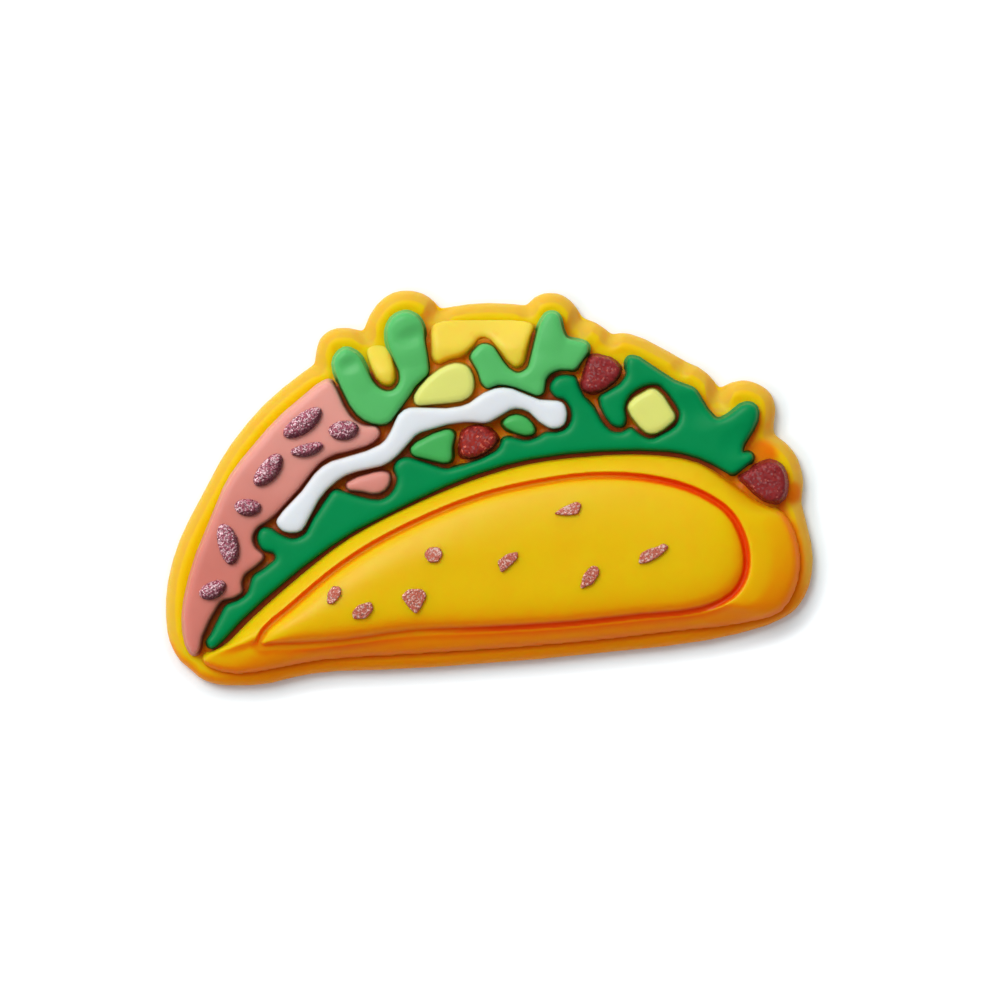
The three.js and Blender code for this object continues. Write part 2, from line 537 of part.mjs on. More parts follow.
charm.add(inlay('cream', CREAM, CREAM_TOP, WHITE));
YELLOW_CHUNKS.forEach((knots, i) => {
  charm.add(inlay(`yellow_chunk_${i + 1}`, knots, CHUNK_TOP, PALE_YELLOW));
});
GREEN_CHUNKS.forEach((knots, i) => {
  charm.add(inlay(`green_chunk_${i + 1}`, knots, CHUNK_TOP, LIGHT_GREEN));
});
TOMATOES.forEach((knots, i) => {
  charm.add(inlay(`tomato_${i + 1}`, knots, TOMATO_TOP, TOMATO_RED));
});

// The origin is at the middle of the back
const size = new THREE.Box3().setFromObject(charm);
const middle = size.getCenter(new THREE.Vector3());
charm.position.set(-middle.x, -middle.y, -size.min.z);

export default charm;
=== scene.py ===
"""Looks for a soft moulded charm in the shape of a filled taco.

Each piece is a copy of its solid, remeshed finely, softened and given its low relief, in satin or
glittered soft plastic. The charm lies on its flat back under a soft light from the upper left, and
the camera looks straight down at it.

Shapes are worked in millimetres and become metres when a piece is finished.
"""

import logging
import math
from dataclasses import dataclass, field
from enum import Enum
from typing import Iterable, Sequence, Union

import bmesh
import bpy
import numpy as np
from mathutils import Matrix, Vector, noise
from mathutils.bvhtree import BVHTree


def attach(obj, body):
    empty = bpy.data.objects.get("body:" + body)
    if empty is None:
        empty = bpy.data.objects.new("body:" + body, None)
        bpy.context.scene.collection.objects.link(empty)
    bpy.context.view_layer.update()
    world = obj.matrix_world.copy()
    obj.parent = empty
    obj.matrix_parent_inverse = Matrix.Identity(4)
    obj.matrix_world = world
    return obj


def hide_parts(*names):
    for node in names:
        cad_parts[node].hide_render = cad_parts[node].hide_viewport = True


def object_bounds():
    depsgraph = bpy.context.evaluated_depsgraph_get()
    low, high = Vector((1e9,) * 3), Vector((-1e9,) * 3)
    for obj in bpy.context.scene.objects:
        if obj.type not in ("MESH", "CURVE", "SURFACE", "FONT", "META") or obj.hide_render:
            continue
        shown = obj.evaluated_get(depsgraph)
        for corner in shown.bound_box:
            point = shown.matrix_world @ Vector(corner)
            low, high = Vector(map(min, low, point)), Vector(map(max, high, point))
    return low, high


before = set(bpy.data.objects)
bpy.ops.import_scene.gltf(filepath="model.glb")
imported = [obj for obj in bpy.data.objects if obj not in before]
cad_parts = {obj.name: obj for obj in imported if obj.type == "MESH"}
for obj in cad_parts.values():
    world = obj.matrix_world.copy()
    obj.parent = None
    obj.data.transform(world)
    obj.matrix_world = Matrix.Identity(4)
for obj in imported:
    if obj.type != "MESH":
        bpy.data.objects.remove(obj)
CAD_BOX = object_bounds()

log = logging.getLogger("charm")

Point = tuple[float, float]
Rgb = tuple[float, float, float]
Range = tuple[float, float]
Value = Union["Signal", float, int]

MM = 0.001
PER_MM = 1000.0
BODY = "root"

# How far the solids were moved to centre them, in millimetres
CENTRING = np.array((-0.0847, 0.0012))

# Corners closer than this are one, in metres
MERGE = 1.0e-6

# Where the pink fades from its upper to its darker lower colour: a painted fall-off of the light
# towards the bottom
FADE_FROM = 7.0
FADE_TO = -6.0

# Sideways direction in which surfaces turn away from the light
AWAY_FROM_LIGHT = (0.67, -0.74, 0.0)

# Direction of the light, and how much of it a level surface catches
TOWARDS_LIGHT = (-0.36, 0.45, 0.817)
LEVEL_CATCH = 0.817

# Heights above the back that the solids share, in millimetres
PLATE_TOP = 1.5
SHELL_GROOVE = 2.8


def srgb(red: int, green: int, blue: int) -> Rgb:
    """A colour as seen on a screen, made linear.

    Args:
        red: Red, 0 to 255.
        green: Green, 0 to 255.
        blue: Blue, 0 to 255.

    Returns:
        The linear red, green and blue, 0 to 1.
    """

    def linear(level: int) -> float:
        """One channel made linear."""
        share = level / 255
        return share / 12.92 if share <= 0.04045 else ((share + 0.055) / 1.055) ** 2.4

    return linear(red), linear(green), linear(blue)


def smooth_step(low: float, high: float, values: np.ndarray) -> np.ndarray:
    """A soft ramp over the values, from 0 at the low one to 1 at the high one."""
    share = np.clip((values - low) / (high - low), 0, 1)
    return share * share * (3 - 2 * share)


def put(name: str, data: bpy.types.ID) -> bpy.types.Object:
    """A new object of the scene, with its data."""
    obj = bpy.data.objects.new(name, data)
    bpy.context.scene.collection.objects.link(obj)
    return obj


# Shader nodes


class Signal:
    """A shader socket that takes part in arithmetic."""

    def __init__(self, board: "Board", socket: bpy.types.NodeSocket) -> None:
        """Keeps the socket and the board that it is on."""
        self.board = board
        self.socket = socket

    def __add__(self, other: Value) -> "Signal":
        """The sum."""
        return self.board.maths("ADD", self, other)

    def __sub__(self, other: Value) -> "Signal":
        """The difference."""
        return self.board.maths("SUBTRACT", self, other)

    def __rsub__(self, other: Value) -> "Signal":
        """The difference, from the right."""
        return self.board.maths("SUBTRACT", other, self)

    def __mul__(self, other: Value) -> "Signal":
        """The product."""
        return self.board.maths("MULTIPLY", self, other)

    def graded(self, low: float, high: float) -> "Signal":
        """A soft ramp from 0 to 1 between two values."""
        ramp = self.board.node(
            "ShaderNodeMapRange",
            {"interpolation_type": "SMOOTHSTEP"},
            {"Value": self, "From Min": low, "From Max": high},
        )
        return self.board.out(ramp, "Result")


class Board:
    """The node tree of one material."""

    def __init__(self, name: str) -> None:
        """Makes the material with an empty tree."""
        self.material = bpy.data.materials.new(name)
        self.material.use_nodes = True
        self.tree = self.material.node_tree
        self.tree.nodes.clear()

    def node(
        self,
        kind: str,
        settings: dict[str, object] | None = None,
        inputs: dict[str | int, object] | None = None,
    ) -> bpy.types.Node:
        """Adds a node.

        Args:
            kind: Blender's name of the node type.
            settings: Properties of the node, set before its sockets.
            inputs: A value or a Signal for each socket that is fed, by name or number.

        Returns:
            The node.
        """
        node = self.tree.nodes.new(kind)
        for name, value in (settings or {}).items():
            setattr(node, name, value)
        for name, value in (inputs or {}).items():
            if isinstance(value, Signal):
                self.tree.links.new(value.socket, node.inputs[name])
            else:
                node.inputs[name].default_value = value
        return node

    def out(self, node: bpy.types.Node, name: str | int) -> Signal:
        """One output of a node."""
        return Signal(self, node.outputs[name])

    def maths(self, operation: str, first: Value, second: Value) -> Signal:
        """A Math node on two values."""
        node = self.node("ShaderNodeMath", {"operation": operation}, {0: first, 1: second})
        return self.out(node, 0)

    def vector(self, operation: str, inputs: dict[str | int, object]) -> Signal:
        """A Vector Math node."""
        return self.out(self.node("ShaderNodeVectorMath", {"operation": operation}, inputs), 0)

    def towards(self, direction: tuple[float, float, float]) -> Signal:
        """How far the surface faces a direction, -1 to 1."""
        inputs = {0: self.facing(), 1: direction}
        return self.out(self.node("ShaderNodeVectorMath", {"operation": "DOT_PRODUCT"}, inputs), 1)

    def facing(self) -> Signal:
        """The direction that the surface faces."""
        return self.out(self.node("ShaderNodeNewGeometry"), "Normal")

    def blend(self, share: Value, first: object, second: object) -> Signal:
        """A mix of two colours.

        Args:
            share: How much of the second colour shows.
            first: The first colour, a Signal or red, green and blue.
            second: The second colour.

        Returns:
            The mixed colour.
        """
        colours = [c if isinstance(c, Signal) else (*c, 1.0) for c in (first, second)]
        node = self.node(
            "ShaderNodeMix", {"data_type": "RGBA"}, {0: share, 6: colours[0], 7: colours[1]}
        )
        return self.out(node, 2)

    def place(self) -> Signal:
        """The place on the piece, in metres."""
        return self.out(self.node("ShaderNodeTexCoord"), "Object")

    def noise(self, size: float, detail: float = 2.0) -> Signal:
        """Soft noise from 0 to 1, by the size of its patches in millimetres."""
        node = self.node(
            "ShaderNodeTexNoise",
            None,
            {"Vector": self.place(), "Scale": PER_MM / size, "Detail": detail},
        )
        return self.out(node, "Fac")

    def attribute(self, name: str) -> Signal:
        """A number painted on the mesh."""
        return self.out(self.node("ShaderNodeAttribute", {"attribute_name": name}), "Fac")

    def finish(self, inputs: dict[str | int, object]) -> bpy.types.Material:
        """Adds the shader and the output.

        Args:
            inputs: A value or a Signal for each socket of the shader that is fed.

        Returns:
            The material.
        """
        shader = self.node("ShaderNodeBsdfPrincipled", None, inputs)
        output = self.node("ShaderNodeOutputMaterial")
        self.tree.links.new(shader.outputs[0], output.inputs[0])
        return self.material


# Finishes


@dataclass(frozen=True)
class SoftPlastic:
    """Satin soft plastic that is coloured right through."""

    name: str
    slot: str
    colour: Rgb
    mottle_and_valley_shade: Rgb
    pit_shade: Rgb | None = None
    far: Rgb | None = None
    shade: Rgb | None = None
    painted_reflection: Rgb | None = None
    roughness: float = 0.42
    gloss: float = 0.1
    sheen: float = 0.3
    glow: float = 0.4
    glow_scale: float = 1.0
    glow_reach: Rgb = (1.0, 0.25, 0.04)

    # Sizes in millimetres of the mottle and the grain, and how far they change colour and satin
    mottle_size = 2.6
    mottle_detail = 3.0
    mottle_depth = 0.2
    mottle_least = 0.04
    satin_change = 0.12
    grain_size = 0.09
    grain_height = 0.02
    grain_strength = 0.12

    # How far a surface has to lean for the painted shade, the painted reflection and the sheen that
    # lies only on faces towards the light, and how strong they are
    shade_lean = (0.0, 0.5)
    shade_share = 0.95
    reflection_lean = (0.01, 0.12)
    reflection_below = (0.0, 0.45)
    reflection_share = 0.8
    sheen_lean = (-0.05, 0.35)
    sheen_roughness = 0.4

    def material(self) -> bpy.types.Material:
        """Makes the material.

        Returns:
            The material, with a faint mottle, an uneven satin and a fine moulded grain, and with
            painted shade, a painted reflection and a sheen where the light falls.
        """
        board = Board(self.name)
        mottle = board.noise(self.mottle_size, self.mottle_detail) - 0.5
        grain = board.noise(self.grain_size)
        base = self.colour
        # The pink is darker towards the bottom: a painted fall-off of the light.
        if self.far:
            place = board.node("ShaderNodeSeparateXYZ", None, {0: board.place()})
            down = board.out(place, "Y").graded(FADE_FROM * MM, FADE_TO * MM)
            base = board.blend(down, self.colour, self.far)
        # Painted shade: more of the shade colour where the surface turns from the light.
        if self.shade:
            lost = LEVEL_CATCH - board.towards(TOWARDS_LIGHT)
            share = lost.graded(*self.shade_lean) * self.shade_share
            base = board.blend(share, base, self.shade)
        # Painted reflection: paler where the surface slopes outwards, but not on slopes facing
        # down.
        if self.painted_reflection:
            slope = board.towards((0.0, 0.0, -1.0)) + 1.0
            below = board.towards((0.0, -1.0, 0.0)).graded(*self.reflection_below)
            share = slope.graded(*self.reflection_lean) * (1.0 - below) * self.reflection_share
            base = board.blend(share, base, self.painted_reflection)
        lively = board.blend(mottle * self.mottle_depth + self.mottle_least, base, self.mottle_and_valley_shade)
        # Painted shade: the second colour in valleys and at the foot of walls, by the painted
        # grade.
        colour = board.blend(board.attribute("valley"), lively, self.mottle_and_valley_shade)
        # Painted shade: a darker colour in pits between the parts.
        if self.pit_shade:
            colour = board.blend(board.attribute("pit_shade"), colour, self.pit_shade)
        strength, height = self.grain_strength, self.grain_height * MM
        bump = board.node(
            "ShaderNodeBump", None, {"Strength": strength, "Distance": height, "Height": grain}
        )
        # The coat lies only on faces towards the light: a painted sheen.
        lit = board.towards(AWAY_FROM_LIGHT) * -1.0
        return board.finish(
            {
                "Base Color": colour,
                "Roughness": mottle * self.satin_change + self.roughness,
                "Subsurface Weight": self.glow,
                "Subsurface Radius": self.glow_reach,
                "Subsurface Scale": self.glow_scale * MM,
                "Specular IOR Level": self.gloss,
                "Coat Weight": lit.graded(*self.sheen_lean) * self.sheen,
                "Coat Roughness": self.sheen_roughness,
                "Normal": board.out(bump, "Normal"),
            }
        )


@dataclass(frozen=True)
class GlitterPlastic:
    """Soft plastic full of fine metal flakes that lie at all angles."""

    name: str
    slot: str
    colour: Rgb
    dark: Rgb
    spark: Rgb
    spark_share: float
    grain: float
    tilt: float
    shine: float = 0.2
    turned_away_shade: float = 0.4
    roughness: float = 0.42

    # How far a surface leans away from the light where its sparks fade and it darkens, a painted
    # shade, and how a spark differs from the rest
    turned_away_lean = (-0.12, 0.36)
    spark_edge = 0.12
    spark_polish = -0.12
    gloss = 0.3

    def material(self) -> bpy.types.Material:
        """Makes the material.

        Returns:
            The material: small cells, each with its own tilt, and a share of them bright metal.
        """
        board = Board(self.name)
        cells = board.node(
            "ShaderNodeTexVoronoi",
            {"feature": "F1"},
            {"Vector": board.place(), "Scale": PER_MM / self.grain},
        )
        picks = board.node("ShaderNodeSeparateColor", None, {0: board.out(cells, "Color")})
        pick = board.out(picks, 0)
        shade = board.out(picks, 1)
        # Painted shade: darker, with fewer sparks, where the surface turns from the light.
        turned_away_share = board.towards(AWAY_FROM_LIGHT).graded(*self.turned_away_lean) * self.turned_away_shade
        dullest = 1 - self.spark_share
        sparks = pick.graded(dullest, dullest + self.spark_edge) * (1.0 - turned_away_share)
        body = board.blend(turned_away_share, board.blend(shade, self.colour, self.dark), self.dark)
        off_centre = board.vector("SUBTRACT", {0: board.out(cells, "Color"), 1: (0.5, 0.5, 0.5)})
        leaning = board.vector("SCALE", {0: off_centre, "Scale": self.tilt})
        turned = board.vector("ADD", {0: board.facing(), 1: leaning})
        return board.finish(
            {
                "Base Color": board.blend(sparks, body, self.spark),
                "Roughness": sparks * self.spark_polish + self.roughness,
                "Metallic": sparks * self.shine,
                "Specular IOR Level": self.gloss,
                "Normal": board.vector("NORMALIZE", {0: turned}),
            }
        )


class Finish(Enum):
    """The finishes of the charm."""

    # The second colour of each soft plastic serves its mottle and its painted shade in valleys; the
    # shade and pit colours are painted shade, the pale colour on the plate's outer slopes a painted
    # reflection, and the pink's lower colour a painted fall-off of the light.
    YELLOW = SoftPlastic(
        "yellow soft plastic", "yellow_plastic", srgb(236, 198, 5), srgb(236, 66, 0),
        shade=srgb(254, 140, 0), gloss=0.06, glow=0.8,
    )
    GROUND = SoftPlastic(
        "yellow soft plastic of the plate", "yellow_plastic", srgb(240, 204, 5), srgb(240, 120, 2),
        pit_shade=srgb(136, 50, 8), shade=srgb(254, 140, 0), painted_reflection=srgb(226, 180, 62), gloss=0.05,
        sheen=0.12, glow=0.8,
    )
    CHEESE = SoftPlastic(
        "pale gold soft plastic", "yellow_plastic", srgb(243, 214, 74), srgb(238, 140, 4),
        shade=srgb(250, 180, 20), gloss=0.06, glow=0.6, glow_scale=0.8,
    )
    PINK = SoftPlastic(
        "pink soft plastic", "pink_plastic", srgb(237, 167, 154), srgb(140, 44, 32),
        far=srgb(217, 130, 116), glow_reach=(0.6, 0.3, 0.2),
    )
    DARK_GREEN = SoftPlastic(
        "dark green soft plastic", "dark_green_plastic", srgb(0, 142, 79), srgb(8, 66, 12),
        gloss=0.05, sheen=0.2, glow=0.15, glow_reach=(0.1, 0.5, 0.2),
    )
    LIGHT_GREEN = SoftPlastic(
        "light green soft plastic", "light_green_plastic", srgb(92, 192, 107), srgb(20, 94, 16),
        glow=0.2, glow_reach=(0.3, 0.6, 0.2),
    )
    MID_GREEN = SoftPlastic(
        "middle green soft plastic", "light_green_plastic", srgb(74, 180, 92), srgb(20, 94, 16),
        glow=0.2, glow_reach=(0.3, 0.6, 0.2),
    )
    WHITE = SoftPlastic(
        "white soft plastic", "white_plastic", srgb(232, 236, 240), srgb(190, 150, 110),
        glow_reach=(0.6, 0.5, 0.4),
    )
    PALE_YELLOW = SoftPlastic(
        "pale yellow soft plastic", "pale_yellow_plastic", srgb(230, 232, 126), srgb(170, 136, 6),
        glow_reach=(0.8, 0.6, 0.2),
    )
    RED_GLITTER = GlitterPlastic(
        "red glitter", "red_glitter", srgb(178, 44, 30), srgb(120, 18, 18), srgb(240, 120, 96),
        0.16, 0.12, 0.7,
    )
    TOMATO = GlitterPlastic(
        "dull red glitter", "red_glitter", srgb(158, 38, 38), srgb(118, 20, 24),
        srgb(214, 110, 96), 0.1, 0.12, 0.6,
    )
    MAROON_GLITTER = GlitterPlastic(
        "maroon glitter", "maroon_glitter", srgb(206, 108, 128), srgb(88, 22, 40),
        srgb(255, 214, 220), 0.4, 0.075, 1.0, turned_away_shade=0.9,
    )
    ROSE_GLITTER = GlitterPlastic(
        "rose glitter", "rose_glitter", srgb(218, 124, 102), srgb(170, 66, 42),
        srgb(255, 210, 196), 0.38, 0.075, 1.0, turned_away_shade=0.7,
    )


# Shaping


def solid(node: str) -> bmesh.types.BMesh:
    """A copy of a solid in millimetres, with its loose triangles joined."""
    bm = bmesh.new()
    bm.from_mesh(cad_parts[node].data)
    bmesh.ops.remove_doubles(bm, verts=bm.verts, dist=MERGE)
    bmesh.ops.scale(bm, vec=Vector((PER_MM,) * 3), verts=bm.verts)
    return bm


def tree_of(bm: bmesh.types.BMesh) -> BVHTree:
    """The faces of a bmesh, which is freed, as a tree that rays can be cast at."""
    tree = BVHTree.FromBMesh(bm)
    bm.free()
    return tree


def distances(tree: BVHTree, points: np.ndarray, height: float) -> np.ndarray:
    """How far each point lies from a tree, with all points set at one height."""
    places = (Vector((x, y, height)) for x, y, _ in points)
    return np.array([tree.find_nearest(place)[3] for place in places])


def along_and_across(points: np.ndarray, start: Point, turn: float) -> np.ndarray:
    """How far each point lies along and across a direction.

    Args:
        points: The points in millimetres.
        start: Where the direction starts, before centring.
        turn: Where it heads, in degrees from +X.

    Returns:
        One row along it and one across it, in millimetres.
    """
    offset = points[:, :2] - (np.array(start) + CENTRING)
    cosine, sine = math.cos(math.radians(turn)), math.sin(math.radians(turn))
    return np.array((offset @ np.array((cosine, sine)), offset @ np.array((-sine, cosine))))


class Net:
    """Which corners of a mesh are joined by an edge."""

    def __init__(self, mesh: bpy.types.Mesh) -> None:
        """Reads the edges of a mesh."""
        ends = np.empty(len(mesh.edges) * 2, np.int32)
        mesh.edges.foreach_get("vertices", ends)
        self.first, self.second = ends.reshape(-1, 2).T
        self.count = len(mesh.vertices)
        self.degree = np.bincount(ends, minlength=self.count)

    def settled(self, values: np.ndarray, rounds: int, loose: np.ndarray) -> np.ndarray:
        """Values drawn towards those of their neighbours.

        Args:
            values: One number for each corner.
            rounds: How many times.
            loose: How freely each corner changes, 0 to 1.

        Returns:
            The new values.
        """
        share = 0.5 * loose
        for _ in range(rounds):
            total = np.bincount(self.first, values[self.second], self.count)
            total += np.bincount(self.second, values[self.first], self.count)
            values = values + share * (total / self.degree - values)
        return values


class Clay:
    """A mesh in millimetres that is shaped in steps and then becomes a piece."""

    # Height of the underside above the plate's top, and how far it reaches down into the plate
    underside = 0.05
    sink = 0.25

    def __init__(self, name: str, bm: bmesh.types.BMesh) -> None:
        """Takes over a bmesh in millimetres.

        Args:
            name: Name of the piece to be.
            bm: Its first shape, which is freed.
        """
        mesh = bpy.data.meshes.new(name)
        bm.to_mesh(mesh)
        bm.free()
        self.obj = put(name, mesh)

    @classmethod
    def of_node(cls, node: str, name: str) -> "Clay":
        """A copy of a solid, under the name of the piece to be."""
        return cls(name, solid(node))

    def points(self) -> np.ndarray:
        """The corners of the mesh, one row each."""
        flat = np.empty(len(self.obj.data.vertices) * 3, np.float32)
        self.obj.data.vertices.foreach_get("co", flat)
        return flat.reshape(-1, 3).astype(float)

    def heights(self) -> np.ndarray:
        """How high each corner lies."""
        return self.points()[:, 2]

    def normals(self) -> np.ndarray:
        """The direction that each corner faces, one row each."""
        flat = np.empty(len(self.obj.data.vertices) * 3, np.float32)
        self.obj.data.vertices.foreach_get("normal", flat)
        return flat.reshape(-1, 3).astype(float)

    def move_to(self, points: np.ndarray) -> None:
        """Puts the corners of the mesh in new places."""
        self.obj.data.vertices.foreach_set("co", points.astype(np.float32).ravel())
        self.obj.data.update()

    def remesh(self, voxel: float) -> None:
        """Rebuilds the surface from small squares.

        Args:
            voxel: Side of a square in millimetres.
        """
        modifier = self.obj.modifiers.new("fine", "REMESH")
        modifier.mode = "VOXEL"
        modifier.voxel_size = voxel
        modifier.use_smooth_shade = True
        bpy.context.view_layer.update()
        graph = bpy.context.evaluated_depsgraph_get()
        fine = bpy.data.meshes.new_from_object(self.obj.evaluated_get(graph))
        self.obj.modifiers.clear()
        self.obj.data = fine

    def relax(
        self, rounds: int, loose: np.ndarray | None = None, upright: bool = False
    ) -> None:
        """Softens the surface.

        Args:
            rounds: How many times it is smoothed.
            loose: How freely each corner moves, 0 to 1, or None where all do.
            upright: Whether they move only up and down.
        """
        net = Net(self.obj.data)
        points = self.points()
        free = np.ones(len(points)) if loose is None else loose
        for axis in (2,) if upright else (0, 1, 2):
            points[:, axis] = net.settled(points[:, axis], rounds, free)
        self.move_to(points)

    def flare(self, spread: float, rise: float, growth: float = 0.0) -> None:
        """Lets the walls run out towards the foot and reach down into the plate.

        Args:
            spread: How far the foot moves outwards, in millimetres.
            rise: Height at which the wall is upright again.
            growth: How far the whole wall moves outwards.
        """
        points = self.points()
        outwards = self.normals()
        foot = 1 - smooth_step(PLATE_TOP, PLATE_TOP + rise, points[:, 2])
        points[:, :2] += outwards[:, :2] * (foot * spread + growth)[:, None]
        points[points[:, 2] < PLATE_TOP + self.underside, 2] -= self.sink
        self.move_to(points)

    def roughen(self, grain: float, height: float) -> None:
        """Covers the surface with fine bumps.

        Args:
            grain: Size of a bump in millimetres.
            height: How far the highest stands out.
        """
        points = self.points()
        rise = [noise.noise(Vector(point) / grain) * height for point in points]
        self.move_to(points + self.normals() * np.array(rise)[:, None])

    def hollowness(self, rounds: int, depth: float) -> np.ndarray:
        """How far each corner lies in a groove.

        Args:
            rounds: How widely the surroundings are averaged.
            depth: Depth below the surroundings that counts as 1, in millimetres.

        Returns:
            The grade of each corner, 0 to 1.
        """
        before = self.points()
        self.relax(rounds)
        around = self.points()
        self.move_to(before)
        return np.clip((around[:, 2] - before[:, 2]) / depth, 0, 1)

    def paint(self, name: str, values: np.ndarray) -> None:
        """Stores a number on each corner, for the material to read."""
        layer = self.obj.data.attributes.new(name, "FLOAT", "POINT")
        layer.data.foreach_set("value", values.astype(np.float32))

    def surface(self) -> BVHTree:
        """The mesh as a tree, in millimetres."""
        bm = bmesh.new()
        bm.from_mesh(self.obj.data)
        return tree_of(bm)

    def piece(self, finish: Finish, replaced: str) -> bpy.types.Object:
        """Turns the shape into a finished piece.

        Args:
            finish: What it is made of.
            replaced: The solid that it stands for.

        Returns:
            The piece, in metres, riding on the charm.
        """
        mesh = self.obj.data
        mesh.transform(Matrix.Scale(MM, 4))
        mesh.shade_smooth()
        mesh.materials.clear()
        mesh.materials.append(Wardrobe.material(finish))
        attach(self.obj, BODY)
        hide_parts(replaced)
        log.info("%s: %d faces for %s", self.obj.name, len(mesh.polygons), replaced)
        return self.obj


class Wardrobe:
    """The materials made so far, one for each finish."""

    made: dict[Finish, bpy.types.Material] = {}

    @classmethod
    def material(cls, finish: Finish) -> bpy.types.Material:
        """The material of a finish, made at its first use."""
        if finish not in cls.made:
            cls.made[finish] = finish.value.material()
        return cls.made[finish]


@dataclass(frozen=True)
class Swell:
    """A soft rise in the top of a piece, or a hollow where its height is below 0."""

    x: float
    y: float
    length: float
    width: float
    turn: float
    height: float

    def lift(self, points: np.ndarray) -> np.ndarray:
        """How far each point rises, in millimetres."""
        along, across = along_and_across(points, (self.x, self.y), self.turn)
        along, across = along / (self.length / 2), across / (self.width / 2)
        return self.height * np.clip(1 - along**2 - across**2, 0, 1) ** 2


@dataclass(frozen=True)
class Crease:
    """A valley that runs in from a corner between two lobes of the rim."""

    x: float
    y: float
    heading: float
    length: float = 1.15
    width: float = 0.75
    depth: float = 0.25

    def drop(self, points: np.ndarray) -> np.ndarray:
        """How far each point sinks, in millimetres."""
        along, across = along_and_across(points, (self.x, self.y), self.heading)
        along, across = along / self.length, across / self.width
        return self.depth * np.clip(1 - along**2, 0, 1) * np.clip(1 - across**2, 0, 1) ** 2


